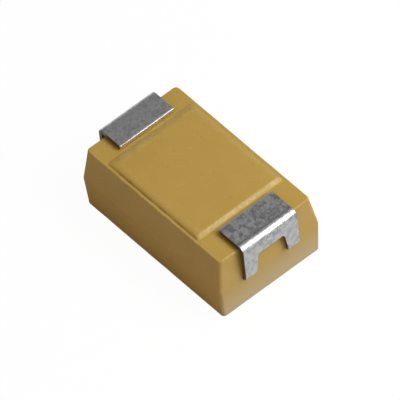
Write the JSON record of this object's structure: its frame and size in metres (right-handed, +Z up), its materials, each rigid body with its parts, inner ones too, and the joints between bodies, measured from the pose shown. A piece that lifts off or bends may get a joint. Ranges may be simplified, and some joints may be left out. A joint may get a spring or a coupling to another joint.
{
  "type": "tantalum capacitor",
  "caption": "Surface-mount tantalum capacitor: a moulded epoxy case with folded tin-plated terminals that end in flat solder pads.",
  "frame": {"origin": "middle of the marked face, which the part lies on with its solder pads up", "axes": "+X along the case towards the anode end, +Y across the case, +Z up through the solder pads"},
  "size_m": [0.0074, 0.0044, 0.0029],
  "materials": {
    "case_moulding": "gold-tan filled epoxy, fine matt mould texture",
    "anode_terminal": "matt tin plate with a fine mottle",
    "cathode_terminal": "matt tin plate with a fine mottle",
    "tantalum_pellet": "sintered, matt dark grey",
    "riser_wire": "drawn, grey",
    "insulating_washer": "waxy white",
    "manganese_dioxide_coat": "matt brown-black",
    "graphite_coat": "matt dark grey",
    "silver_coat": "matt silver paint",
    "silver_adhesive": "matt grey silver-filled adhesive"
  },
  "bodies": {
    "root": {"case_moulding": "case_moulding", "anode_terminal": "anode_terminal", "cathode_terminal": "cathode_terminal", "tantalum_pellet": "tantalum_pellet", "riser_wire": "riser_wire", "insulating_washer": "insulating_washer", "manganese_dioxide_coat": "manganese_dioxide_coat", "graphite_coat": "graphite_coat", "silver_coat": "silver_coat", "silver_adhesive": "silver_adhesive"}
  },
  "joints": []
}
